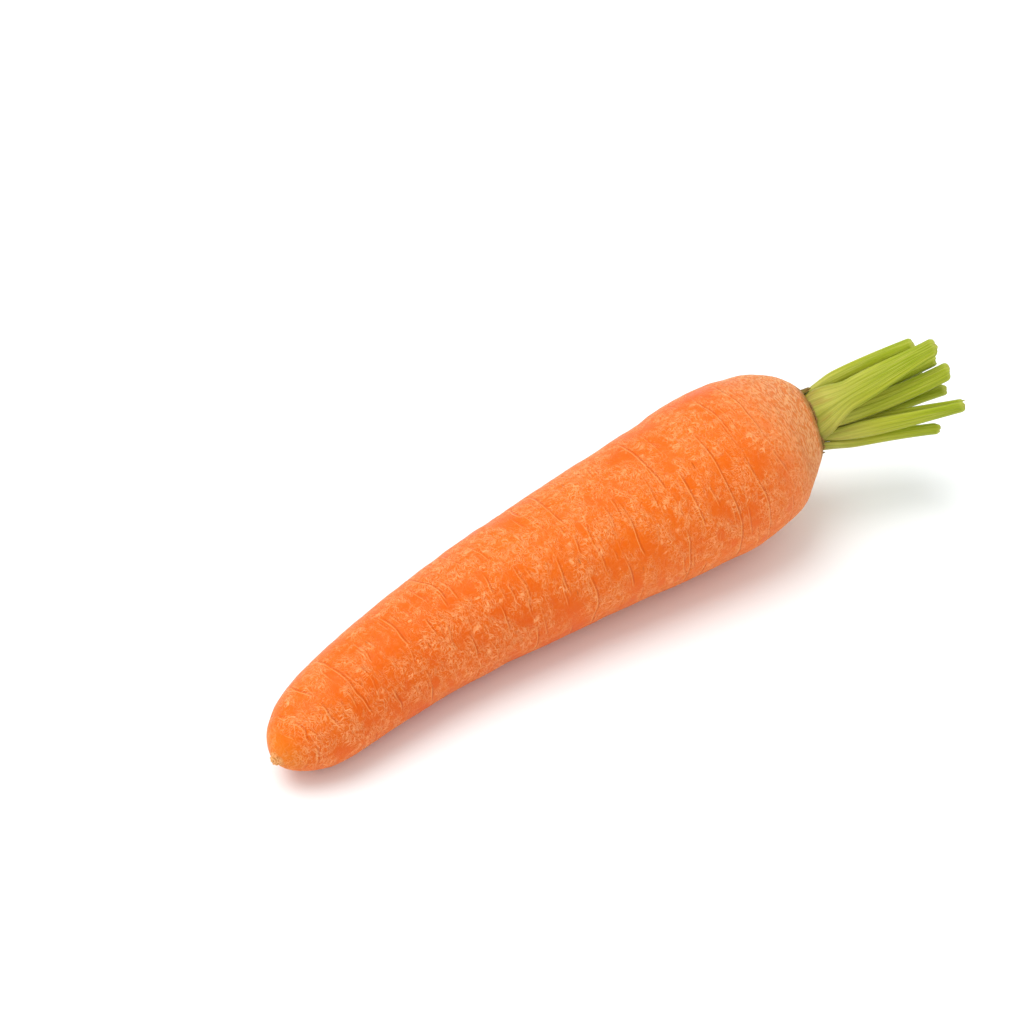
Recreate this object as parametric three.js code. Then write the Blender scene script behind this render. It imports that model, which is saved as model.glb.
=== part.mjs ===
// A carrot as picked, lying on its side: the bowed taproot with its rounded shoulder, the cut
// leaf stalks that spring from the crown, and the dry scales left round the crown's rim.
//
// Millimetres. +X runs from the root's tip to its crown, +Z is up, the root lies on z = 0.
// Everything is worked out from the centre line: s is the distance along it from the tip,
// and t = s / rootLength. Round the crown, a clock angle of 0 points to +Y and 90 points up.

import * as THREE from 'three';

// ---- root ---------------------------------------------------------------------------------
const rootLength = 170;
const tipBodyRadius = 10.3;       // the plain taper, carried on to the tip
const crownBodyRadius = 24.35;    // the plain taper, carried on to the crown
const tipCapEnd = 0.107;          // the tip rounds off up to here
const shoulderStart = 0.781;      // the shoulder rounds off from here
const shoulderClose = 1.015;      // and would close on the axis here, past the crown's face
const shoulderPower = 2.09;       // 2 is an ellipse, more is squarer
const flatDepth = 0.45;           // how much of the underside is pressed flat

const tailRadius = 1.2;           // the nub of the broken-off root tail
const tailLength = 1.0;

const tipHeading = 11.5;          // degrees to the left of +X at the tip
const bodyHeading = -3.0;         // past the bow
const crownHeading = -22.6;       // where the crown turns
const bowEnd = 0.55;              // the first bend is over by here
const crownTurnStart = 0.9;       // the second starts here and ends at the crown
const crownLiftStart = 0.7;       // the crown end starts to rise from the surface here
const crownLift = 8;              // and noses up by this many degrees

const rootSides = 36;
const tipRings = 7;
const bodyRings = 24;
const shoulderRings = 16;
const lineSteps = 340;            // steps of the centre line

// ---- crown --------------------------------------------------------------------------------
const partGap = 0.3;              // left between pieces that touch
const stalkSides = 16;
const stalkSteps = 14;
const sheathShare = 0.34;         // of a stalk's length, clasping the crown
const freeBend = 0.12;            // how much of the sheath's curl a free stalk keeps

// Each ring of sheaths: the radius of its middle and its thickness.
const outerRing = { radius: 7.0, thickness: 1.5 };
const middleRing = { radius: 5.0, thickness: 1.8 };
const heart = { radius: 1.9, thickness: 2.9 };
const scaleRing = { radius: 8.5, thickness: 0.8 };

// clock and span: where the sheath sits on the crown and how far round it reaches, degrees.
// face: the clock angle that the free stalk's broad back turns to, where it differs.
// bow and end: the point that the stalk arches towards, and its cut end, each as the distance
// out from the crown, to the +Y side, and up. width and depth: the free stalk, mid way;
// taper: what is left of them at the cut end.
const stalks = [
  { name: 'stalk_front', ring: outerRing, clock: 125, span: 130,
    bow: [16.8, -3.6, 10.0], end: [35.3, -0.2, 11.1], width: 7.9, depth: 2.6, taper: 0.62 },
  { name: 'stalk_back_top', ring: outerRing, clock: 31, span: 50,
    bow: [16.2, 8.4, 5.2], end: [32.1, 8.9, 5.7], width: 4.2, depth: 4.8, taper: 0.84 },
  { name: 'stalk_back', ring: outerRing, clock: 340, span: 44,
    bow: [19.2, 10.3, -1.6], end: [31.0, 8.9, -0.8], width: 3.8, depth: 2.8, taper: 0.85 },
  { name: 'stalk_under', ring: outerRing, clock: 296, span: 36,
    bow: [19.0, 5.0, -6.9], end: [32.6, 3.7, -7.0], width: 3.6, depth: 2.6, taper: 0.85 },
  { name: 'stalk_lowest', ring: outerRing, clock: 224, span: 58,
    bow: [16.0, -3.8, -8.7], end: [31.2, -7.6, -10.1], width: 3.8, depth: 3.4, taper: 0.88 },
  { name: 'stalk_lower_front', ring: middleRing, clock: 200, span: 50, face: 170,
    bow: [19.8, -9.4, -1.4], end: [38.1, -9.4, -3.8], width: 4.8, depth: 2.8, taper: 0.64 },
  { name: 'stalk_centre', ring: middleRing, clock: 142, span: 58,
    bow: [18.7, -4.6, 1.8], end: [37.5, -1.8, 2.8], width: 5.4, depth: 2.8, taper: 0.9 },
  { name: 'stalk_behind', ring: middleRing, clock: 80, span: 62,
    bow: [17.5, -0.3, 3.3], end: [35.5, 2.3, 4.2], width: 4.6, depth: 3.0, taper: 0.84 },
  { name: 'stalk_lower_centre', ring: middleRing, clock: 251, span: 44,
    bow: [19.5, -0.3, -3.9], end: [36.2, -1.0, -3.9], width: 3.8, depth: 3.3, taper: 0.9 },
  { name: 'stalk_thin', ring: heart, clock: 215, span: 110,
    bow: [20.6, -4.9, -1.5], end: [39.0, -6.1, -4.9], width: 2.2, depth: 1.6, taper: 0.6 },
  { name: 'stalk_heart', ring: heart, clock: 35, span: 110,
    bow: [16.6, 2.5, 0.2], end: [32.0, 3.5, 0.6], width: 2.4, depth: 1.8, taper: 0.8 },
];

// Dry remains of old leaf bases. rise: how far each stands out from the crown's face.
const scales = [
  { name: 'dry_scale_top', clock: 58, span: 34, rise: 2.2 },
  { name: 'dry_scale_front', clock: 118, span: 62, rise: 0.8 },
  { name: 'dry_scale_lower_front', clock: 186, span: 52, rise: 0.9 },
  { name: 'dry_scale_low', clock: 232, span: 26, rise: 1.9 },
  { name: 'dry_scale_under', clock: 278, span: 44, rise: 1.2 },
  { name: 'dry_scale_back', clock: 348, span: 70, rise: 1.5 },
];

const skin = new THREE.MeshStandardMaterial({ color: 0xec6a1e, roughness: 0.45, metalness: 0 });
const green = new THREE.MeshStandardMaterial({ color: 0xabb83c, roughness: 0.5, metalness: 0 });
const dry = new THREE.MeshStandardMaterial({ color: 0x6f5426, roughness: 0.9, metalness: 0 });

const radians = THREE.MathUtils.degToRad;
const lerp = THREE.MathUtils.lerp;
const easeIn = (x) => THREE.MathUtils.smoothstep(x, 0, 1);

// ---- the centre line -----------------------------------------------------------------------
const taperSlope = Math.asin((crownBodyRadius - tipBodyRadius) / rootLength);

// The centre line's direction, and the two directions across it, at a share t of its length.
function directionsAt(t) {
  const bow = (bodyHeading - tipHeading) * easeIn(t / bowEnd);
  const turn = (crownHeading - bodyHeading) * easeIn((t - crownTurnStart) / (1 - crownTurnStart));
  const lift = crownLift * easeIn((t - crownLiftStart) / (1 - crownLiftStart));
  const heading = radians(tipHeading + bow + turn);
  const slope = taperSlope + radians(lift);
  const along = new THREE.Vector3(
    Math.cos(slope) * Math.cos(heading),
    Math.cos(slope) * Math.sin(heading),
    Math.sin(slope),
  );
  const side = new THREE.Vector3(-Math.sin(heading), Math.cos(heading), 0);
  const up = new THREE.Vector3().crossVectors(along, side);
  return { along, side, up };
}

// Points along the centre line, a step apart, each step taken in its middle's direction.
function centreLine() {
  const points = [new THREE.Vector3(0, 0, tipBodyRadius - flatDepth)];
  for (let i = 0; i < lineSteps; i += 1) {
    const step = directionsAt((i + 0.5) / lineSteps).along.multiplyScalar(rootLength / lineSteps);
    points.push(points[i].clone().add(step));
  }
  return points;
}

const line = centreLine();

function centreAt(t) {
  const place = THREE.MathUtils.clamp(t, 0, 1) * lineSteps;
  const below = Math.min(Math.floor(place), lineSteps - 1);
  const centre = line[below].clone().lerp(line[below + 1], place - below);
  const beyond = t - THREE.MathUtils.clamp(t, 0, 1);
  return centre.addScaledVector(directionsAt(t).along, beyond * rootLength);
}

// ---- root ---------------------------------------------------------------------------------
function rootRadius(t) {
  const body = lerp(tipBodyRadius, crownBodyRadius, t);
  const intoTip = Math.max(0, (tipCapEnd - t) / tipCapEnd);
  const intoShoulder = Math.max(0, (t - shoulderStart) / (shoulderClose - shoulderStart));
  const tip = Math.sqrt(Math.max(0, 1 - intoTip ** 2));
  const shoulder = Math.max(0, 1 - intoShoulder ** shoulderPower) ** (1 / shoulderPower);
  return body * tip * shoulder;
}

// Rings close together where the outline curves most: by angle round the tip and the shoulder.
function rootProfile() {
  const profile = [
    new THREE.Vector2(0, -tailLength),
    new THREE.Vector2(0.8 * tailRadius, -tailLength),
    new THREE.Vector2(tailRadius, -0.3 * tailLength),
  ];
  for (let i = 1; i <= tipRings; i += 1) {
    const t = tipCapEnd * (1 - Math.cos((Math.PI / 2) * (i / tipRings)));
    profile.push(new THREE.Vector2(rootRadius(t), t * rootLength));
  }
  for (let i = 1; i <= bodyRings; i += 1) {
    const t = lerp(tipCapEnd, shoulderStart, i / bodyRings);
    profile.push(new THREE.Vector2(rootRadius(t), t * rootLength));
  }
  for (let i = 1; i <= shoulderRings; i += 1) {
    const t = lerp(shoulderStart, 1, Math.sin((Math.PI / 2) * (i / shoulderRings)));
    profile.push(new THREE.Vector2(rootRadius(t), t * rootLength));
  }
  profile.push(new THREE.Vector2(0, rootLength));
  return profile;
}

// A straight turned body, bent on to the centre line and pressed flat where it would pass z = 0.
function makeRoot() {
  const geometry = new THREE.LatheGeometry(rootProfile(), rootSides);
  const position = geometry.attributes.position;
  for (let i = 0; i < position.count; i += 1) {
    const t = position.getY(i) / rootLength;
    const { side, up } = directionsAt(t);
    const point = centreAt(t);
    point.addScaledVector(up, position.getX(i));
    point.addScaledVector(side, position.getZ(i));
    position.setXYZ(i, point.x, point.y, Math.max(0, point.z));
  }
  geometry.computeVertexNormals();
  const root = new THREE.Mesh(geometry, skin);
  root.name = 'root';
  return root;
}

// ---- stalks and scales ---------------------------------------------------------------------
const crown = { centre: centreAt(1), ...directionsAt(1) };

// A point given by its distance out from the crown's face, to the side, and up.
function crownPoint([out, side, up]) {
  return crown.centre.clone()
    .addScaledVector(crown.along, out)
    .addScaledVector(crown.side, side)
    .addScaledVector(crown.up, up);
}

// A drum whose height becomes the piece's length and whose round becomes a section that is
// curled about the crown's middle. shape(h) gives the section's half width along the curl, its
// half depth, its curl radius, its middle and the clock angle that its back turns to.
function makeCurledPiece(name, material, sides, steps, shape) {
  const geometry = new THREE.CylinderGeometry(1, 1, 1, sides, steps);
  const position = geometry.attributes.position;
  for (let i = 0; i < position.count; i += 1) {
    const { halfWidth, halfDepth, curl, middle, facing } = shape(position.getY(i) + 0.5);
    const outward = crown.side.clone().multiplyScalar(Math.cos(radians(facing)))
      .addScaledVector(crown.up, Math.sin(radians(facing)));
    const round = new THREE.Vector3().crossVectors(crown.along, outward);
    const angle = (position.getX(i) * halfWidth) / curl;
    const reach = curl + position.getZ(i) * halfDepth;
    const point = middle.clone()
      .addScaledVector(outward, reach * Math.cos(angle) - curl)
      .addScaledVector(round, reach * Math.sin(angle));
    position.setXYZ(i, point.x, point.y, point.z);
  }
  geometry.computeVertexNormals();
  const piece = new THREE.Mesh(geometry, material);
  piece.name = name;
  return piece;
}

// A point on the crown's face, a gap away from it, at a radius and a clock angle.
function footOnCrown(radius, clock) {
  return [partGap, radius * Math.cos(radians(clock)), radius * Math.sin(radians(clock))];
}

function makeStalk({ name, ring, clock, span, face = clock, bow, end, width, depth, taper }) {
  const foot = footOnCrown(ring.radius, clock);
  const path = new THREE.QuadraticBezierCurve3(crownPoint(foot), crownPoint(bow), crownPoint(end));
  const sheathHalfWidth = radians(span / 2) * ring.radius;
  return makeCurledPiece(name, green, stalkSides, stalkSteps, (h) => {
    const free = easeIn(h / sheathShare);
    const size = lerp(1, taper, easeIn((h - sheathShare) / (1 - sheathShare)));
    return {
      halfWidth: lerp(sheathHalfWidth, (width / 2) * size, free),
      halfDepth: lerp(ring.thickness / 2, (depth / 2) * size, free),
      curl: ring.radius / lerp(1, freeBend, free),
      middle: path.getPoint(h),
      facing: lerp(clock, face, free),
    };
  });
}

function makeScale({ name, clock, span, rise }) {
  const halfWidth = radians(span / 2) * scaleRing.radius;
  const sides = 12;
  const steps = 3;
  const [gap, side, up] = footOnCrown(scaleRing.radius, clock);
  return makeCurledPiece(name, dry, sides, steps, (h) => ({
    halfWidth: halfWidth * lerp(1, 0.45, h * h),
    halfDepth: (scaleRing.thickness / 2) * lerp(1, 0.5, h),
    curl: scaleRing.radius,
    middle: crownPoint([gap + rise * h, side, up]),
    facing: clock,
  }));
}

// ---- the carrot ----------------------------------------------------------------------------
const carrot = new THREE.Group();
carrot.add(makeRoot());
stalks.forEach((stalk) => carrot.add(makeStalk(stalk)));
scales.forEach((scale) => carrot.add(makeScale(scale)));

// The origin is under the middle of the whole carrot's box.
const box = new THREE.Box3().setFromObject(carrot, true);
const middle = box.getCenter(new THREE.Vector3());
carrot.position.set(-middle.x, -middle.y, -box.min.z);

export default carrot;
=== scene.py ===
"""A carrot as picked, lying on its side: the looks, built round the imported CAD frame.

Metres, in the frame's own axes: +X runs from the root's tip to its crown, +Z is up, and the
carrot lies on z = 0. The root, the leaf bases and the dry scales are grown by Geometry Nodes
trees that follow the same rules as the CAD solids, with the relief that those leave out.
"""

import math

import bpy
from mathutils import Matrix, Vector


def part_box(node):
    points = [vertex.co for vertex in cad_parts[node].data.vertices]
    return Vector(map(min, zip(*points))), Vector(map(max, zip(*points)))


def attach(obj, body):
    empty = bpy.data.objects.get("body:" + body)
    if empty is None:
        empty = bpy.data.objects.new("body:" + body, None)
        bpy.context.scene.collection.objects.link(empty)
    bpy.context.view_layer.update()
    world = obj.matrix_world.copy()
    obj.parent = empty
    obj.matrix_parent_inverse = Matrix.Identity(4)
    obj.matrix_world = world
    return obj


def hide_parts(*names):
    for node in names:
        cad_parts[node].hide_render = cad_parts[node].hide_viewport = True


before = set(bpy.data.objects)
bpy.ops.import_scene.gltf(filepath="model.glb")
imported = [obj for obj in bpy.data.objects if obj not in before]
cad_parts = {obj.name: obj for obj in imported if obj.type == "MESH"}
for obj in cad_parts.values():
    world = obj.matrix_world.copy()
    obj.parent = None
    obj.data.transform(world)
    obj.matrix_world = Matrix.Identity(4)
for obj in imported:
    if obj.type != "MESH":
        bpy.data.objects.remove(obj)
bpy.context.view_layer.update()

MM = 0.001

# ---- the root's rule ------------------------------------------------------------------------
ROOT_LENGTH = 170 * MM
TIP_BODY_RADIUS = 10.3 * MM
CROWN_BODY_RADIUS = 24.35 * MM
TIP_CAP_END = 0.107
SHOULDER_START = 0.781
SHOULDER_CLOSE = 1.015
SHOULDER_POWER = 2.09
FLAT_DEPTH = 0.45 * MM
TAIL_RADIUS = 1.2 * MM
TAIL_LENGTH = 1.0 * MM

TIP_HEADING = 11.5
BODY_HEADING = -3.0
CROWN_HEADING = -22.6
BOW_END = 0.55
CROWN_TURN_START = 0.9
CROWN_LIFT_START = 0.7
CROWN_LIFT = 8

LINE_STEPS = 1700
ROOT_SIDES = 128
TAIL_RINGS = 8
TIP_RINGS = 70
BODY_RINGS = 500
SHOULDER_RINGS = 165
FACE_RINGS = 10
CROWN_DOME = 1.2 * MM
TAIL_FLARE = 2.5
WELD_DISTANCE = 0.002 * MM

# ---- the crown's leaf bases -----------------------------------------------------------------
# Each ring of sheaths: the radius of its middle and its thickness, in millimetres.
OUTER_RING = (7.0, 1.5)
MIDDLE_RING = (5.0, 1.8)
HEART = (1.9, 2.9)
SCALE_RING = (8.5, 0.8)

# Each stalk: its ring, the clock angle and span of its sheath, the clock angle that its broad
# back turns to, the point that it arches towards and its cut end (out from the crown, to the
# +Y side, up, in millimetres), the free stalk's width and depth, what is left of them at the
# cut, and how many ribs run along its back. They are the CAD solids' values, except that
# stalk_lowest clasps 66 degrees, where its solid clasps 58, to close the gap beside it.
STALKS = {
    "stalk_front":
        (OUTER_RING, 125, 130, 125, (16.8, -3.6, 10.0), (35.3, -0.2, 11.1), 7.9, 2.6, 0.62, 15),
    "stalk_back_top":
        (OUTER_RING, 31, 50, 31, (16.2, 8.4, 5.2), (32.1, 8.9, 5.7), 4.2, 4.8, 0.84, 8),
    "stalk_back":
        (OUTER_RING, 340, 44, 340, (19.2, 10.3, -1.6), (31.0, 8.9, -0.8), 3.8, 2.8, 0.85, 8),
    "stalk_under":
        (OUTER_RING, 296, 36, 296, (19.0, 5.0, -6.9), (32.6, 3.7, -7.0), 3.6, 2.6, 0.85, 7),
    "stalk_lowest":
        (OUTER_RING, 224, 66, 224, (16.0, -3.8, -8.7), (31.2, -7.6, -10.1), 3.8, 3.4, 0.88, 8),
    "stalk_lower_front":
        (MIDDLE_RING, 200, 50, 170, (19.8, -9.4, -1.4), (38.1, -9.4, -3.8), 4.8, 2.8, 0.64, 9),
    "stalk_centre":
        (MIDDLE_RING, 142, 58, 142, (18.7, -4.6, 1.8), (37.5, -1.8, 2.8), 5.4, 2.8, 0.9, 10),
    "stalk_behind":
        (MIDDLE_RING, 80, 62, 80, (17.5, -0.3, 3.3), (35.5, 2.3, 4.2), 4.6, 3.0, 0.84, 7),
    "stalk_lower_centre":
        (MIDDLE_RING, 251, 44, 251, (19.5, -0.3, -3.9), (36.2, -1.0, -3.9), 3.8, 3.3, 0.9, 8),
    "stalk_thin":
        (HEART, 215, 110, 215, (20.6, -4.9, -1.5), (39.0, -6.1, -4.9), 2.2, 1.6, 0.6, 5),
    "stalk_heart":
        (HEART, 35, 110, 35, (16.6, 2.5, 0.2), (32.0, 3.5, 0.6), 2.4, 1.8, 0.8, 5),
}
SHEATH_SHARE = 0.34
FREE_BEND = 0.12
RIB_HEIGHT = 0.035 * MM
STALK_SIDES = 72
STALK_STEPS = 96
STALK_RINGS = 6

# How far the feet of the stalks and scales are sunk into the crown, so that no gap shows.
SUNK = 0.8 * MM

# Each dry scale: its clock angle and span, and how far it stands out from the crown's face.
# The CAD solids stand out 2.2 mm at the top and 1.9 mm at the low one, and the rest as here.
SCALES = {
    "dry_scale_top": (58, 34, 2.8),
    "dry_scale_front": (118, 62, 0.8),
    "dry_scale_lower_front": (186, 52, 0.9),
    "dry_scale_low": (232, 26, 1.3),
    "dry_scale_under": (278, 44, 1.2),
    "dry_scale_back": (348, 70, 1.5),
}
SCALE_SIDES = 96
SCALE_STEPS = 16
SCALE_RINGS = 3


# ---- node trees written as expressions ------------------------------------------------------
class Flow:
    """An output of a node, in a shader or a Geometry Nodes tree, that arithmetic works on."""

    def __init__(self, tree, socket=None):
        self.tree = tree
        self.socket = socket

    def add(self, kind, settings=None, sockets=None, output=0):
        """A new node: its settings are set first, then its sockets' values or links."""
        node = self.tree.nodes.new(kind)
        for name, value in (settings or {}).items():
            if name == "stops":
                set_stops(node.color_ramp, value)
            else:
                setattr(node, name, value)
        for name, value in (sockets or {}).items():
            socket = node.inputs[name]
            if isinstance(value, Flow):
                self.tree.links.new(value.socket, socket)
            elif socket.type in ("VECTOR", "RGBA") and isinstance(value, (int, float)):
                socket.default_value = [value] * len(socket.default_value)
            else:
                socket.default_value = value
        return Flow(self.tree, node.outputs[output])

    def is_vector(self):
        return self.socket.type in ("VECTOR", "RGBA")

    def maths(self, operation, *terms):
        """A Math node, or a Vector Math node where any of the terms is a vector."""
        vector = any(
            term.is_vector() if isinstance(term, Flow) else isinstance(term, (tuple, Vector))
            for term in terms
        )
        kind = "ShaderNodeVectorMath" if vector else "ShaderNodeMath"
        return self.add(kind, {"operation": operation}, dict(enumerate(terms)))

    def __add__(self, other):
        return self.maths("ADD", self, other)

    def __radd__(self, other):
        return self.maths("ADD", other, self)

    def __sub__(self, other):
        return self.maths("SUBTRACT", self, other)

    def __rsub__(self, other):
        return self.maths("SUBTRACT", other, self)

    def __mul__(self, other):
        return self.maths("MULTIPLY", self, other)

    def __rmul__(self, other):
        return self.maths("MULTIPLY", other, self)

    def __truediv__(self, other):
        return self.maths("DIVIDE", self, other)

    def __pow__(self, other):
        return self.maths("POWER", self, other)

    def floor(self):
        return self.maths("FLOOR", self)

    def sine(self):
        return self.maths("SINE", self)

    def cosine(self):
        return self.maths("COSINE", self)

    def size(self):
        return self.maths("ABSOLUTE", self)

    def at_least(self, other):
        return self.maths("MAXIMUM", self, other)

    def bell(self, width):
        """1 where the value is 0, falling away over a width either side."""
        share = self / width
        return self.maths("EXPONENT", share * share * -1.0)

    def rise(self, low, high):
        """0 below low, 1 above high, smooth between."""
        sockets = {"Value": self, "From Min": low, "From Max": high, "To Min": 0.0, "To Max": 1.0}
        return self.add("ShaderNodeMapRange", {"interpolation_type": "SMOOTHSTEP"}, sockets)

    def between(self, start, finish):
        """The value or vector that is this share of the way from start to finish."""
        return start + (finish - start) * self

    def part(self, axis):
        return self.add("ShaderNodeSeparateXYZ", sockets={0: self}, output=axis)

    def vector(self, x, y, z):
        return self.add("ShaderNodeCombineXYZ", sockets={0: x, 1: y, 2: z})

    def unit(self):
        return self.maths("NORMALIZE", self)

    def length(self):
        settings = {"operation": "LENGTH"}
        return self.add("ShaderNodeVectorMath", settings, {0: self}, output="Value")

    def noise(self, scale=1.0, detail=1.0, roughness=0.5):
        """Smooth noise at this place: from 0 to 1, and mostly near 0.5."""
        sockets = {"Vector": self, "Scale": scale, "Detail": detail, "Roughness": roughness}
        return self.add("ShaderNodeTexNoise", sockets=sockets)

    def chance(self):
        """A steady random number from 0 to 1 for each whole number."""
        settings = {"noise_dimensions": "1D"}
        return self.add("ShaderNodeTexWhiteNoise", settings, {"W": self}, output="Value")

    def cells(self, scale, feature="F1"):
        """Distance to the nearest cell's point, or to the nearest border between cells."""
        sockets = {"Vector": self, "Scale": scale}
        return self.add("ShaderNodeTexVoronoi", {"feature": feature}, sockets, output="Distance")

    def blend(self, under, over):
        """The colour that is this share of the way from under to over."""
        sockets = {0: self, 6: under, 7: over}
        return self.add("ShaderNodeMix", {"data_type": "RGBA"}, sockets, output=2)

    def ramp(self, *stops):
        """A colour for this value, from stops of a position and a colour."""
        return self.add("ShaderNodeValToRGB", {"stops": stops}, {0: self})


def set_stops(ramp, stops):
    """Gives a colour ramp its stops."""
    while len(ramp.elements) < len(stops):
        ramp.elements.new(1.0)
    for element, (position, colour) in zip(ramp.elements, stops):
        element.position = position
        element.color = colour


def tint(red, green, blue):
    """A linear colour from red, green and blue as a paint chart gives them, 0 to 255."""
    shares = [part / 255 for part in (red, green, blue)]
    linear = [s / 12.92 if s <= 0.04045 else ((s + 0.055) / 1.055) ** 2.4 for s in shares]
    return (*linear, 1.0)


# ---- the centre line ------------------------------------------------------------------------
TAPER_SLOPE = math.asin((CROWN_BODY_RADIUS - TIP_BODY_RADIUS) / ROOT_LENGTH)


def ease(x):
    x = min(max(x, 0.0), 1.0)
    return x * x * (3 - 2 * x)


def directions_at(t):
    """The centre line's direction, and the two across it, at a share t of its length."""
    bow = (BODY_HEADING - TIP_HEADING) * ease(t / BOW_END)
    turn = (CROWN_HEADING - BODY_HEADING) * ease((t - CROWN_TURN_START) / (1 - CROWN_TURN_START))
    lift = CROWN_LIFT * ease((t - CROWN_LIFT_START) / (1 - CROWN_LIFT_START))
    heading = math.radians(TIP_HEADING + bow + turn)
    slope = TAPER_SLOPE + math.radians(lift)
    level = math.cos(slope)
    along = Vector((level * math.cos(heading), level * math.sin(heading), math.sin(slope)))
    side = Vector((-math.sin(heading), math.cos(heading), 0.0))
    return along, side, along.cross(side)


def walk_centre_line():
    """Points along the centre line, a step apart, from a tip at x = y = 0."""
    points = [Vector((0.0, 0.0, TIP_BODY_RADIUS - FLAT_DEPTH))]
    for i in range(LINE_STEPS):
        along = directions_at((i + 0.5) / LINE_STEPS)[0]
        points.append(points[-1] + along * (ROOT_LENGTH / LINE_STEPS))
    return points


CENTRE_LINE = walk_centre_line()


def centre_at(t):
    held = min(max(t, 0.0), 1.0)
    place = held * LINE_STEPS
    below = min(int(place), LINE_STEPS - 1)
    centre = CENTRE_LINE[below].lerp(CENTRE_LINE[below + 1], place - below)
    return centre + directions_at(t)[0] * ((t - held) * ROOT_LENGTH)


def root_radius(t):
    body = TIP_BODY_RADIUS + (CROWN_BODY_RADIUS - TIP_BODY_RADIUS) * t
    into_tip = max(0.0, (TIP_CAP_END - t) / TIP_CAP_END)
    into_shoulder = max(0.0, (t - SHOULDER_START) / (SHOULDER_CLOSE - SHOULDER_START))
    tip = math.sqrt(max(0.0, 1 - into_tip ** 2))
    shoulder = max(0.0, 1 - into_shoulder ** SHOULDER_POWER) ** (1 / SHOULDER_POWER)
    return body * tip * shoulder


def root_stations():
    """The share of the centre line and the radius of each ring of the root, tail to crown."""
    stations = []
    for i in range(TAIL_RINGS):
        share = i / TAIL_RINGS
        t = -TAIL_LENGTH * (1 - share) / ROOT_LENGTH
        stations.append((t, TAIL_RADIUS * math.sqrt(min(1.0, TAIL_FLARE * share))))
    for i in range(1, TIP_RINGS + 1):
        t = TIP_CAP_END * (1 - math.cos(math.pi / 2 * i / TIP_RINGS))
        stations.append((t, max(root_radius(t), TAIL_RADIUS)))
    for i in range(1, BODY_RINGS + 1):
        t = TIP_CAP_END + (SHOULDER_START - TIP_CAP_END) * i / BODY_RINGS
        stations.append((t, root_radius(t)))
    for i in range(1, SHOULDER_RINGS + 1):
        t = SHOULDER_START + (1 - SHOULDER_START) * math.sin(math.pi / 2 * i / SHOULDER_RINGS)
        stations.append((t, root_radius(t)))
    rim = root_radius(1.0)
    for i in range(1, FACE_RINGS + 1):
        share = i / FACE_RINGS
        rise = CROWN_DOME * math.sin(math.pi / 2 * share)
        stations.append((1 + rise / ROOT_LENGTH, rim * (1 - share)))
    return stations


def place_of_tip():
    """Where the tip stands in the frame: the plain root's low corner is the CAD root's."""
    low = Vector((0.0, 0.0))
    for t, radius in root_stations():
        side, up = directions_at(t)[1:]
        centre = centre_at(t)
        for axis in (0, 1):
            across = radius * math.hypot(side[axis], up[axis])
            low[axis] = min(low[axis], centre[axis] - across)
    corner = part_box("root")[0]
    return Vector((corner[0] - low[0], corner[1] - low[1], 0.0))


TIP_PLACE = place_of_tip()
CROWN_CENTRE = TIP_PLACE + centre_at(1.0)
CROWN_ALONG, CROWN_SIDE, CROWN_UP = directions_at(1.0)


def crown_point(out, side, up):
    """A point given in millimetres out from the crown's face, to the side, and up."""
    return CROWN_CENTRE + (CROWN_ALONG * out + CROWN_SIDE * side + CROWN_UP * up) * MM


# ---- skin patterns, used for the relief and for the colour alike -----------------------------
LIP_OFFSET = 0.5 * MM


def ring_marks(straight, spacing, reach, cut, seed):
    """Broken rings round the root: how far each place is from its ring, and how marked it is.

    spacing is the mean distance between rings, reach how short the pieces are that the rings
    break into, and cut the level of noise above which there is a piece.
    """
    along = straight.part(0)
    across = (straight * (0.0, 1.0, 1.0)).unit()
    sway = (across * 1.3 + straight.vector(along * 30.0, 0.0, seed)).noise() - 0.5
    band = along / spacing + sway * (4.5 * MM / spacing) + seed
    number = band.floor()
    centre = 0.25 + 0.5 * (number + seed).chance()
    tremble = (straight.noise(220.0) - 0.5) * 0.3 * MM
    distance = (band - number - centre) * spacing + tremble
    piece = (across * reach + straight.vector(number * 7.31 + seed, 0.0, 0.0)).noise()
    return distance, piece.rise(cut, cut + 0.1)


def skin_marks(straight):
    """The root's two sets of rings: long deep creases and short shallow ones."""
    deep = ring_marks(straight, 8.6 * MM, 1.4, 0.47, 3.0)
    fine = ring_marks(straight, 3.1 * MM, 2.4, 0.54, 11.0)
    return deep, fine


def slits(straight):
    """Small slits across the root, a few to a square centimetre: 1 in their middles."""
    inside = 1 - (straight * (5.0, 1.0, 1.0)).cells(130.0).rise(0.05, 0.13)
    return inside * straight.noise(60.0).rise(0.56, 0.64)


# ---- Geometry Nodes -------------------------------------------------------------------------
def new_tree(name, inputs):
    """A Geometry Nodes tree with named inputs, and a Flow for each input."""
    tree = bpy.data.node_groups.new(name, "GeometryNodeTree")
    tree.interface.new_socket("Geometry", in_out="INPUT", socket_type="NodeSocketGeometry")
    for label, kind in inputs.items():
        tree.interface.new_socket(label, in_out="INPUT", socket_type="NodeSocket" + kind)
    tree.interface.new_socket("Geometry", in_out="OUTPUT", socket_type="NodeSocketGeometry")
    entry = tree.nodes.new("NodeGroupInput")
    return tree, {socket.name: Flow(tree, socket) for socket in entry.outputs if socket.name}


def finish_tree(geometry, material):
    """Ends a tree: real geometry, smooth, in its material, to the group's output."""
    real = geometry.add("GeometryNodeRealizeInstances", sockets={0: geometry})
    smooth = real.add("GeometryNodeSetShadeSmooth", sockets={0: real})
    coated = real.add("GeometryNodeSetMaterial", sockets={0: smooth, "Material": material})
    exit_node = geometry.tree.nodes.new("NodeGroupOutput")
    geometry.tree.links.new(coated.socket, exit_node.inputs[0])


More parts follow.
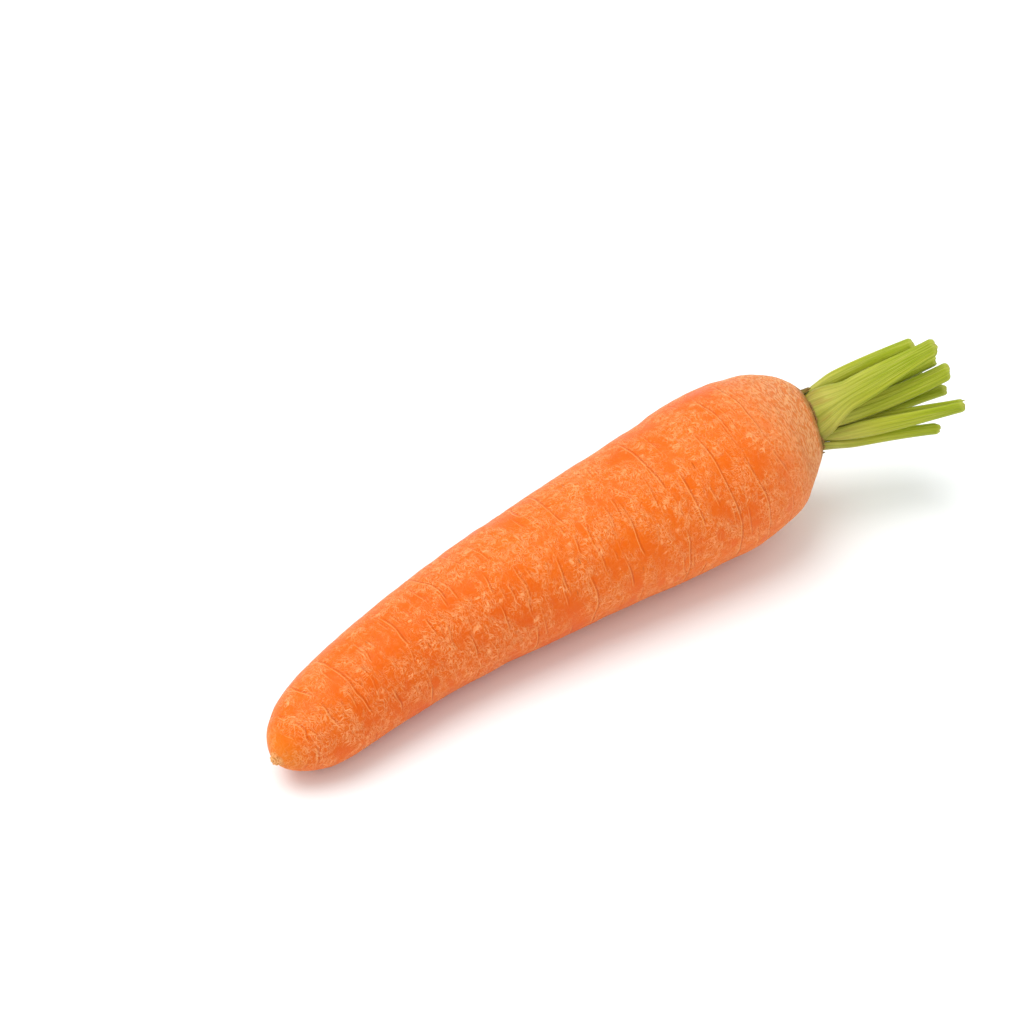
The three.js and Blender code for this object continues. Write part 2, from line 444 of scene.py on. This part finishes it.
def keep(geometry, name, value, kind="FLOAT_VECTOR"):
    """Stores a value on the points under a name."""
    settings = {"data_type": kind, "domain": "POINT"}
    sockets = {"Geometry": geometry, "Name": name, "Value": value}
    return geometry.add("GeometryNodeStoreNamedAttribute", settings, sockets)


def kept(flow, name, kind="FLOAT_VECTOR"):
    """Reads a stored value in a Geometry Nodes tree."""
    return flow.add("GeometryNodeInputNamedAttribute", {"data_type": kind}, {"Name": name})


def grow(name, seed_data, tree, values, material):
    """Runs a tree on a curve or a mesh and keeps what it makes as a plain mesh piece."""
    carrier = bpy.data.objects.new(name + "_carrier", seed_data)
    bpy.context.scene.collection.objects.link(carrier)
    modifier = carrier.modifiers.new("grow", "NODES")
    modifier.node_group = tree
    inputs = [item for item in tree.interface.items_tree if item.in_out == "INPUT"]
    identifiers = {item.name: item.identifier for item in inputs}
    for label, value in values.items():
        modifier[identifiers[label]] = value
    evaluated = carrier.evaluated_get(bpy.context.evaluated_depsgraph_get())
    mesh = bpy.data.meshes.new_from_object(evaluated)
    carrier.modifiers.clear()
    bpy.data.objects.remove(carrier)
    mesh.name = name
    mesh.materials.clear()
    mesh.materials.append(material)
    piece = bpy.data.objects.new(name + "_grown", mesh)
    bpy.context.scene.collection.objects.link(piece)
    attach(piece, "root")
    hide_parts(name)
    return piece


def root_tree(material):
    """Sweeps the root along its centre line and raises its skin's relief."""
    tree, given = new_tree("root_growth", {
        "Sides": "Int",
        "Root length": "Float",
        "Tail length": "Float",
        "Lump height": "Float",
        "Swell height": "Float",
        "Crease depth": "Float",
        "Fine crease depth": "Float",
        "Slit depth": "Float",
        "Wrinkle height": "Float",
    })
    start = given["Geometry"]
    spline = start.add("GeometryNodeSplineParameter", output="Length")
    radius = start.add("GeometryNodeInputRadius")
    line = start.add("GeometryNodeSetCurveNormal", {"mode": "Z_UP"}, {0: start})
    line = keep(line, "distance", spline - given["Tail length"], "FLOAT")
    line = keep(line, "thickness", radius, "FLOAT")
    circle = start.add(
        "GeometryNodeCurvePrimitiveCircle", {"mode": "RADIUS"},
        {"Resolution": given["Sides"], "Radius": 1.0},
    )
    place = start.add("GeometryNodeInputPosition")
    circle = keep(circle, "round", place)
    swept = start.add(
        "GeometryNodeCurveToMesh",
        sockets={"Curve": line, "Profile Curve": circle, "Scale": radius},
    )
    closed = start.add(
        "GeometryNodeMergeByDistance", sockets={"Geometry": swept, "Distance": WELD_DISTANCE})
    thick = kept(start, "thickness", "FLOAT")
    turn = kept(start, "round")
    unbent = start.vector(
        kept(start, "distance", "FLOAT"), thick * turn.part(0), thick * turn.part(1))
    marked = keep(closed, "straight", unbent)
    straight = kept(start, "straight")
    share = straight.part(0) / given["Root length"]

    lumps = (straight.noise(42.0) - 0.5) * 2.0 * given["Lump height"]
    swells = ((straight * (150.0, 32.0, 32.0)).noise() - 0.5) * 2.0 * given["Swell height"]
    (deep_gap, deep), (fine_gap, fine) = skin_marks(straight)
    deep_lip = 0.6 * (deep_gap + LIP_OFFSET).bell(0.26 * MM)
    deep_mark = (deep_lip - deep_gap.bell(0.24 * MM) - 0.8 * deep_gap.bell(1.4 * MM)) * deep
    fine_lip = 0.5 * (fine_gap + LIP_OFFSET).bell(0.22 * MM)
    fine_mark = (fine_lip - fine_gap.bell(0.2 * MM)) * fine
    wrinkles = (straight * (900.0, 60.0, 60.0)).noise() - 0.5
    on_body = share.rise(0.0, 0.03) * (1 - share.rise(0.975, 1.0))
    relief = (
        lumps + swells + deep_mark * given["Crease depth"] + fine_mark * given["Fine crease depth"]
        - slits(straight) * given["Slit depth"]
        + wrinkles * given["Wrinkle height"] * (0.25 + share.rise(0.86, 0.99))
    ) * on_body
    tail = (1 - share.rise(-0.002, 0.006)) * (straight.noise(1400.0, 2.0) - 0.42) * (0.9 * MM)
    normal = start.add("GeometryNodeInputNormal")
    offset = {"Geometry": marked, "Offset": normal * (relief + tail)}
    raised = start.add("GeometryNodeSetPosition", sockets=offset)
    laid = start.vector(place.part(0), place.part(1), place.part(2).at_least(0.0))
    rested = start.add("GeometryNodeSetPosition", sockets={"Geometry": raised, "Position": laid})
    finish_tree(rested, material)
    return tree


def centre_line_curve():
    """The root's centre line as a curve that carries the root's radius."""
    stations = root_stations()
    curve = bpy.data.curves.new("root_centre_line", "CURVE")
    curve.dimensions = "3D"
    spline = curve.splines.new("POLY")
    spline.points.add(len(stations) - 1)
    for point, (t, radius) in zip(spline.points, stations):
        point.co = (*(TIP_PLACE + centre_at(t)), 1.0)
        point.radius = radius
    return curve


def curled_section(flow, across, through, half_width, half_depth, curl, middle, facing):
    """A point of a section that is curled about the crown's middle, as on a sheath."""
    outward = facing.cosine() * flow["Side"] + facing.sine() * flow["Up"]
    around = flow["Along"].maths("CROSS_PRODUCT", flow["Along"], outward)
    angle = across * half_width / curl
    reach = curl + through * half_depth
    return middle + outward * (reach * angle.cosine() - curl) + around * (reach * angle.sine())


CROWN_INPUTS = {"Side": "Vector", "Up": "Vector", "Along": "Vector"}
CROWN_VALUES = {"Side": CROWN_SIDE, "Up": CROWN_UP, "Along": CROWN_ALONG}


def drum(flow, sides, steps, rings):
    """A closed drum of radius 1 from z = 0 to 1, and its points' across, through and height."""
    sockets = {"Vertices": sides, "Side Segments": steps, "Fill Segments": rings}
    made = flow.add("GeometryNodeMeshCylinder", sockets={**sockets, "Radius": 1.0, "Depth": 1.0})
    place = flow.add("GeometryNodeInputPosition")
    return made, place.part(0) * -1.0, place.part(1), place.part(2) + 0.5


def stalk_tree(material):
    """One cut leaf stalk: a sheath that clasps the crown, narrowing to a ribbed stem."""
    tree, given = new_tree("stalk_growth", {
        **CROWN_INPUTS,
        "Foot": "Vector",
        "Bow": "Vector",
        "End": "Vector",
        "Ring radius": "Float",
        "Sheath half width": "Float",
        "Sheath half depth": "Float",
        "Free half width": "Float",
        "Free half depth": "Float",
        "Taper": "Float",
        "Clock": "Float",
        "Face": "Float",
        "Ribs": "Float",
        "Rib height": "Float",
        "Seed": "Float",
        "Sides": "Int",
        "Steps": "Int",
    })
    start = given["Side"]
    made, across, through, even = drum(start, given["Sides"], given["Steps"], STALK_RINGS)
    height = even - (even * (2 * math.pi)).sine() * (0.6 / (2 * math.pi))
    made = keep(made, "grain", start.vector(across, through, height))
    made = keep(made, "seed", given["Seed"], "FLOAT")
    made = keep(made, "ribs", given["Ribs"], "FLOAT")
    grain = kept(start, "grain")
    across, through, height = grain.part(0), grain.part(1), grain.part(2)

    free = height.rise(0.0, SHEATH_SHARE)
    size = height.rise(SHEATH_SHARE, 1.0).between(1.0, given["Taper"])
    rounding = 1 - 0.24 * ((height - 0.975) / 0.025).at_least(0.0) ** 2.0
    half_width = free.between(given["Sheath half width"], given["Free half width"] * size)
    half_depth = free.between(given["Sheath half depth"], given["Free half depth"] * size)
    curl = given["Ring radius"] / free.between(1.0, FREE_BEND)
    facing = free.between(given["Clock"], given["Face"])
    rest = 1 - height
    middle = (
        given["Foot"] * (rest * rest) + given["Bow"] * (rest * height * 2.0)
        + given["End"] * (height * height)
    )
    sway = (start.vector(across * 2.0, height * 3.0, given["Seed"]).noise() - 0.5) * 0.5
    ribs = ((across + sway * 0.16) * given["Ribs"] * math.pi).cosine()
    radial = (grain * (1.0, 1.0, 0.0)).length()
    swell = ribs * given["Rib height"] * radial.rise(0.9, 1.0) * free.between(0.45, 1.0)
    point = curled_section(
        given, across * (rounding + swell / half_width),
        through * (rounding + swell / half_depth),
        half_width, half_depth, curl, middle, facing,
    )
    dome = height.rise(0.985, 1.0) * (1 - radial * radial) * 0.45 * MM
    slant = (grain * (0.8, 0.8, 0.0) + start.vector(0.0, 0.0, given["Seed"])).noise() - 0.5
    burr = (grain * (5.0, 5.0, 0.0) + start.vector(0.0, 0.0, given["Seed"])).noise() - 0.5
    cut = height.rise(0.86, 1.0) * (slant * 2.6 + burr * 0.5 + 0.25) * MM
    placed = point + given["Along"] * (dome + cut)
    shape = start.add("GeometryNodeSetPosition", sockets={"Geometry": made, "Position": placed})
    finish_tree(shape, material)
    return tree


def scale_tree(material):
    """One dry scale: a thin ragged strip on the crown's rim."""
    tree, given = new_tree("scale_growth", {
        **CROWN_INPUTS,
        "Foot": "Vector",
        "Rise": "Float",
        "Sunk": "Float",
        "Ring radius": "Float",
        "Half width": "Float",
        "Half depth": "Float",
        "Clock": "Float",
        "Seed": "Float",
        "Sides": "Int",
        "Steps": "Int",
    })
    start = given["Side"]
    made, across, through, height = drum(start, given["Sides"], given["Steps"], SCALE_RINGS)
    made = keep(made, "grain", start.vector(across, through, height))
    made = keep(made, "seed", given["Seed"], "FLOAT")
    made = keep(made, "ribs", given["Half width"] / (0.4 * MM), "FLOAT")
    grain = kept(start, "grain")
    across, through, height = grain.part(0), grain.part(1), grain.part(2)
    half_width = given["Half width"] * (height * height).between(1.0, 0.55)
    fibres = start.vector(across * (given["Half width"] / MM), given["Seed"], 0.0).noise(1.1, 3.0)
    torn = fibres.rise(0.3, 0.7)
    half_depth = given["Half depth"] * height.between(1.0, 0.3) * (0.7 + 0.6 * torn)
    reach = height * (given["Sunk"] + given["Rise"] * (0.45 + 0.55 * torn))
    middle = given["Foot"] + given["Along"] * reach
    flare = (fibres - 0.45) * height * 1.2 * MM
    outward = given["Clock"].cosine() * given["Side"] + given["Clock"].sine() * given["Up"]
    point = curled_section(
        given, across, through, half_width, half_depth, given["Ring radius"], middle,
        given["Clock"],
    )
    placed = point + outward * flare
    shape = start.add("GeometryNodeSetPosition", sockets={"Geometry": made, "Position": placed})
    finish_tree(shape, material)
    return tree


# ---- materials ------------------------------------------------------------------------------
def new_material(name, fixed):
    """A material with its fixed values set, its shader's node, and a Flow to build on."""
    material = bpy.data.materials.new(name)
    material.use_nodes = True
    tree = material.node_tree
    shader = tree.nodes["Principled BSDF"]
    for label, value in fixed.items():
        shader.inputs[label].default_value = value
    return material, shader, Flow(tree)


def feed(shader, **values):
    """Links what varies over the surface to the shader's sockets."""
    for label, value in values.items():
        value.tree.links.new(value.socket, shader.inputs[label.replace("_", " ")])


def bumped(height, depth, strength=1.0):
    """A normal bent by a height from 0 to 1 that stands for a depth in metres."""
    sockets = {"Strength": strength, "Distance": depth, "Height": height}
    return height.add("ShaderNodeBump", sockets=sockets, output="Normal")


def stored(flow, name, output="Vector"):
    """Reads a stored value in a material."""
    return flow.add("ShaderNodeAttribute", {"attribute_name": name}, output=output)


# Each layer of hairs: how close they lie along the root and round it, to a metre, how wide
# they are and how strongly they show.
HAIR_LAYERS = [
    (1250.0, 240.0, 0.026, 1.0),
    (1900.0, 380.0, 0.030, 0.9),
    (760.0, 520.0, 0.016, 0.9),
]


def make_skin():
    """The root's skin: smooth deep-orange patches in a pale, finely haired and flecked scurf."""
    fixed = {
        "IOR": 1.45,
        "Specular IOR Level": 0.16,
        "Subsurface Weight": 0.12,
        "Subsurface Radius": (1.0, 0.3, 0.08),
        "Subsurface Scale": 1.2 * MM,
    }
    material, shader, flow = new_material("carrot_skin", fixed)
    straight = stored(flow, "straight")
    along = straight.part(0)
    share = along / ROOT_LENGTH
    across = straight * (0.0, 1.0, 1.0)

    # where the skin is scurfy: wide soft patches with clear ovals of smooth skin in them, and
    # more of it on the shoulder
    patch = (straight * (1.15, 1.0, 1.0)).noise(150.0, 2.0, 0.55)
    broad = straight.noise(38.0)
    field = patch + (broad - 0.5) * 0.6
    oval_place = straight * (1.7, 1.0, 1.0) + (straight.noise(300.0) - 0.5) * 1.6 * MM
    oval = 1 - oval_place.cells(105.0).rise(0.17, 0.23)
    shoulder = share.rise(0.62, 0.9) * 0.105
    scurf = (1 - (field - shoulder).rise(0.42, 0.74)) * (1 - 0.8 * oval)

    # fine hairs that run round the root, swirl about the smooth patches and make a net
    warp = (straight.noise(380.0, 2.0) - 0.5) * 1.3 * MM
    bent = along + (field - 0.5) * 8.0 * MM + warp
    round_y, round_z = across.part(1) + warp, across.part(2) - warp
    worn = straight.noise(520.0, 1.0).rise(0.28, 0.60)
    hairs = straight.noise(2700.0, 1.0).rise(0.58, 0.70) * scurf * 0.6
    for fine_along, fine_round, width, share_of in HAIR_LAYERS:
        place = flow.vector(bent * fine_along, round_y * fine_round, round_z * fine_round)
        wave = (place.noise(1.0, 1.0) - 0.5).size()
        hairs = hairs.at_least((1 - wave.rise(0.0, width * (0.3 + 0.7 * scurf))) * share_of * worn)
    net_place = flow.vector(bent * 950.0, round_y * 480.0, round_z * 480.0)
    net = 1 - net_place.cells(1.0, "DISTANCE_TO_EDGE").rise(0.0, 0.02 + 0.05 * scurf)
    hairs = hairs.at_least(net * 0.7 * worn)
    shown = hairs * (0.22 + 0.78 * scurf)

    (deep_gap, deep), (fine_gap, fine) = skin_marks(straight)
    groove = (deep_gap.bell(0.17 * MM) * deep).at_least(fine_gap.bell(0.12 * MM) * fine * 0.7)
    lip = ((deep_gap + LIP_OFFSET).bell(0.085 * MM) * deep).at_least(
        (fine_gap + LIP_OFFSET).bell(0.07 * MM) * fine * 0.8)
    slit = slits(straight)

    tone = (straight * (0.5, 1.0, 1.0)).noise(24.0, 2.0).rise(0.35, 0.65)
    deep_orange = tone.blend(tint(220, 88, 0), tint(230, 102, 2))
    dull_orange = tone.blend(tint(222, 98, 12), tint(230, 112, 24))
    mottle = straight.noise(700.0, 2.0).rise(0.4, 0.62)
    colour = (scurf * 0.8 + mottle * 0.2).blend(deep_orange, dull_orange)
    pits = 1 - straight.noise(1900.0, 2.0).rise(0.36, 0.50)
    colour = (pits * (0.15 + 0.35 * scurf)).blend(colour, tint(210, 78, 0))
    colour = (shown * 0.9).blend(colour, tint(250, 172, 112))
    colour = (lip * 0.62).blend(colour, tint(250, 178, 108))
    # painted shade: the creases' grooves are darkened to a deeper orange, standing in for the shade
    # that falls in them
    colour = (groove * 0.5).blend(colour, tint(192, 70, 0))
    # painted shade: the slits' middles are darkened to a deeper orange, standing in for the shade that
    # falls in them
    colour = (slit * 0.4).blend(colour, tint(176, 76, 8))

    # paler and leathery towards the crown, brown at its rim and on its face
    weave = flow.vector(along * 2100.0, across.part(1) * 760.0, across.part(2) * 760.0)
    leather = (weave + (straight.noise(600.0) - 0.5) * 1.2).noise(1.0, 2.0).rise(0.42, 0.58)
    near_crown = (share + (broad - 0.5) * 0.08).rise(0.84, 0.985)
    leathery = leather.blend(tint(212, 124, 64), tint(232, 170, 116))
    colour = (near_crown * 0.8).blend(colour, leathery)
    rim = (share + (patch - 0.5) * 0.01).rise(0.990, 1.0)
    colour = (rim * 0.8).blend(colour, tint(150, 108, 50))
    colour = share.rise(1.0, 1.002).blend(colour, tint(104, 78, 30))

    # yellower at the tip, tan and specked on the broken tail
    tip = (1 - share.rise(0.0, 0.035)) * 0.35
    colour = tip.blend(colour, tint(228, 140, 30))
    nub = 1 - (share + (straight.noise(900.0) - 0.5) * 0.003).rise(0.0005, 0.0032)
    specks = straight.noise(2600.0, 1.0).rise(0.5, 0.6)
    colour = nub.blend(colour, specks.blend(tint(238, 174, 112), tint(200, 128, 62)))

    roughness = 0.34 + 0.16 * scurf + 0.1 * shown + 0.2 * nub + 0.12 * near_crown
    grit = straight.noise(1400.0, 2.0)
    height = (
        0.5 + 0.45 * shown + 0.35 * grit * (0.3 + scurf) + 0.35 * lip
        - 0.9 * groove - 1.4 * slit + 0.9 * leather * near_crown
    )
    feed(shader, Base_Color=colour, Roughness=roughness, Normal=bumped(height, 0.12 * MM, 0.85))
    return material


def make_stalk_green():
    """A cut leaf base: fine veins lengthways, tan where it clasps the crown, green beyond."""
    fixed = {
        "IOR": 1.42,
        "Specular IOR Level": 0.2,
        "Subsurface Weight": 0.15,
        "Subsurface Radius": (0.8, 1.0, 0.2),
        "Subsurface Scale": 1.0 * MM,
    }
    material, shader, flow = new_material("leaf_base_green", fixed)
    grain = stored(flow, "grain")
    ribs = stored(flow, "ribs", "Fac")
    seed = stored(flow, "seed", "Fac")
    across, through, height = grain.part(0), grain.part(1), grain.part(2)
    turned = flow.vector(across * ribs * 0.5, through * 3.0, height * 2.2 + seed)
    veins = (turned * (1.0, 1.0, 0.6)).noise(2.2, 2.0, 0.6)
    fine_veins = (turned * (4.0, 2.0, 0.8)).noise(2.0, 2.0, 0.6)
    crest = (across * ribs * math.pi).cosine() * 0.5 + 0.5
    blotch = turned.noise(0.55, 1.0)
    soft = blotch.rise(0.35, 0.65)

    colour = height.ramp(
        (0.0, tint(146, 130, 50)),
        (0.16, tint(178, 174, 76)),
        (0.42, tint(166, 170, 44)),
        (0.8, tint(154, 168, 22)),
        (1.0, tint(154, 168, 30)),
    )
    colour = (soft * 0.4).blend(colour, tint(118, 140, 8))
    colour = (veins.rise(0.42, 0.66) * 0.4).blend(colour, tint(190, 192, 78))
    groove = (1 - crest) ** 4.0
    colour = (groove * 0.26).blend(colour, tint(110, 122, 14))
    colour = (fine_veins.rise(0.52, 0.66) * 0.3).blend(colour, tint(206, 200, 104))
    stain = (turned * (0.7, 0.6, 1.4)).noise(1.4, 2.0).rise(0.54, 0.68)
    colour = (stain * (1 - height.rise(0.1, 0.4)) * 0.3).blend(colour, tint(140, 88, 36))
    colour = ((1 - height.rise(0.0, 0.05)) * 0.8).blend(colour, tint(92, 70, 24))

    inside = 1 - (grain * (1.0, 1.0, 0.0)).length().rise(0.86, 0.97)
    cut = inside * height.rise(0.97, 0.99)
    pith = (grain * (9.0, 9.0, 1.0)).noise(1.6, 2.0).rise(0.4, 0.6)
    colour = cut.blend(colour, pith.blend(tint(190, 192, 92), tint(158, 162, 54)))
    edge = height.rise(0.965, 0.995) * (1 - cut)
    colour = (edge * 0.4).blend(colour, tint(190, 194, 90))

    roughness = 0.42 + 0.12 * veins + 0.2 * cut
    relief = 0.5 + 0.5 * fine_veins + 0.4 * veins - 0.5 * groove
    feed(shader, Base_Color=colour, Roughness=roughness, Normal=bumped(relief, 0.12 * MM, 0.7))
    return material


def make_dry_brown():
    """The dry scales: brown fibres lengthways, paler at the torn ends."""
    fixed = {"IOR": 1.4, "Specular IOR Level": 0.2}
    material, shader, flow = new_material("dry_brown", fixed)
    grain = stored(flow, "grain")
    ribs = stored(flow, "ribs", "Fac")
    seed = stored(flow, "seed", "Fac")
    across, through, height = grain.part(0), grain.part(1), grain.part(2)
    turned = flow.vector(across * ribs * 0.5, through * 2.0, height * 0.8 + seed)
    fibres = (turned * (1.6, 1.0, 0.5)).noise(1.6, 3.0, 0.6)
    patches = turned.noise(0.5, 1.0)
    colour = fibres.rise(0.38, 0.62).blend(tint(70, 50, 22), tint(150, 112, 56))
    colour = (patches.rise(0.5, 0.65) * 0.6).blend(colour, tint(118, 112, 44))
    colour = (height.rise(0.7, 1.0) * 0.4).blend(colour, tint(178, 140, 82))
    roughness = 0.72 + 0.15 * fibres
    feed(shader, Base_Color=colour, Roughness=roughness, Normal=bumped(fibres, 0.15 * MM, 0.8))
    return material


# ---- the carrot -----------------------------------------------------------------------------
skin = make_skin()
green = make_stalk_green()
brown = make_dry_brown()

grow("root", centre_line_curve(), root_tree(skin), {
    "Sides": ROOT_SIDES,
    "Root length": ROOT_LENGTH,
    "Tail length": TAIL_LENGTH,
    "Lump height": 0.45 * MM,
    "Swell height": 0.28 * MM,
    "Crease depth": 0.05 * MM,
    "Fine crease depth": 0.025 * MM,
    "Slit depth": 0.14 * MM,
    "Wrinkle height": 0.2 * MM,
}, skin)

stalk_growth = stalk_tree(green)
for order, (name, stalk) in enumerate(STALKS.items()):
    ring, clock, span, face, bow, end, width, depth, taper, ribs = stalk
    radius, thickness = ring
    turn = math.radians(clock)
    foot = crown_point(-SUNK / MM, radius * math.cos(turn), radius * math.sin(turn))
    grow(name, bpy.data.meshes.new(name + "_start"), stalk_growth, {
        **CROWN_VALUES,
        "Foot": foot,
        "Bow": crown_point(*bow),
        "End": crown_point(*end),
        "Ring radius": radius * MM,
        "Sheath half width": math.radians(span / 2) * radius * MM,
        "Sheath half depth": thickness / 2 * MM,
        "Free half width": width / 2 * MM,
        "Free half depth": depth / 2 * MM,
        "Taper": taper,
        "Clock": turn,
        "Face": math.radians(face),
        "Ribs": float(ribs) / 2,
        "Rib height": RIB_HEIGHT,
        "Seed": 3.7 * order,
        "Sides": STALK_SIDES,
        "Steps": STALK_STEPS,
    }, green)

scale_growth = scale_tree(brown)
for order, (name, (clock, span, rise)) in enumerate(SCALES.items()):
    radius, thickness = SCALE_RING
    turn = math.radians(clock)
    foot = crown_point(-SUNK / MM, radius * math.cos(turn), radius * math.sin(turn))
    grow(name, bpy.data.meshes.new(name + "_start"), scale_growth, {
        **CROWN_VALUES,
        "Foot": foot,
        "Rise": rise * MM,
        "Sunk": SUNK,
        "Ring radius": radius * MM,
        "Half width": math.radians(span / 2) * radius * MM,
        "Half depth": thickness / 2 * MM,
        "Clock": turn,
        "Seed": 5.3 * order,
        "Sides": SCALE_SIDES,
        "Steps": SCALE_STEPS,
    }, brown)

# ---- floor, light and camera ----------------------------------------------------------------
FLOOR_HALF = 3.0
floor_mesh = bpy.data.meshes.new("floor")
corners = [(-1, -1), (1, -1), (1, 1), (-1, 1)]
floor_mesh.from_pydata([(x * FLOOR_HALF, y * FLOOR_HALF, 0.0) for x, y in corners], [], [(0, 1, 2, 3)])
floor = bpy.data.objects.new("floor", floor_mesh)
bpy.context.scene.collection.objects.link(floor)
floor_white, floor_shader, floor_flow = new_material("floor_white", {"Specular IOR Level": 0.2})
floor_place = floor_flow.add("ShaderNodeTexCoord", output="Object")
floor_tone = floor_place.noise(3.0).blend(tint(246, 250, 250), tint(248, 251, 252))
feed(floor_shader, Base_Color=floor_tone, Roughness=floor_place.noise(8.0) * 0.1 + 0.75)
floor_mesh.materials.append(floor_white)

SKY_STRENGTH = 0.87
LAMP_ENERGY = 1.75
LAMP_ANGLE = math.radians(46)
LAMP_FROM = Vector((-0.24, 0.26, 1.0))
world = bpy.data.worlds.new("studio")
world.use_nodes = True
bpy.context.scene.world = world
backdrop = world.node_tree.nodes["Background"]
backdrop.inputs["Color"].default_value = (1.0, 1.0, 1.0, 1.0)
backdrop.inputs["Strength"].default_value = SKY_STRENGTH

lamp = bpy.data.lights.new("overhead", "SUN")
lamp.energy = LAMP_ENERGY
lamp.angle = LAMP_ANGLE
lamp_object = bpy.data.objects.new("overhead", lamp)
bpy.context.scene.collection.objects.link(lamp_object)
lamp_object.rotation_euler = LAMP_FROM.to_track_quat("Z", "Y").to_euler()

LOOK_AT = Vector((0.0031, 0.0428, 0.0))
CAMERA_AZIMUTH = math.radians(-37.5)
CAMERA_ELEVATION = math.radians(42)
CAMERA_DISTANCE = 0.6805
LENS_LENGTH = 90
SENSOR_WIDTH = 36
level = math.cos(CAMERA_ELEVATION)
back = Vector((
    math.sin(CAMERA_AZIMUTH) * level,
    -math.cos(CAMERA_AZIMUTH) * level,
    math.sin(CAMERA_ELEVATION),
))
camera_data = bpy.data.cameras.new("camera")
camera_data.lens = LENS_LENGTH
camera_data.sensor_width = SENSOR_WIDTH
camera = bpy.data.objects.new("camera", camera_data)
bpy.context.scene.collection.objects.link(camera)
camera.location = LOOK_AT + back * CAMERA_DISTANCE
camera.rotation_euler = (-back).to_track_quat("-Z", "Y").to_euler()
bpy.context.scene.camera = camera
bpy.context.scene.view_settings.view_transform = "Standard"
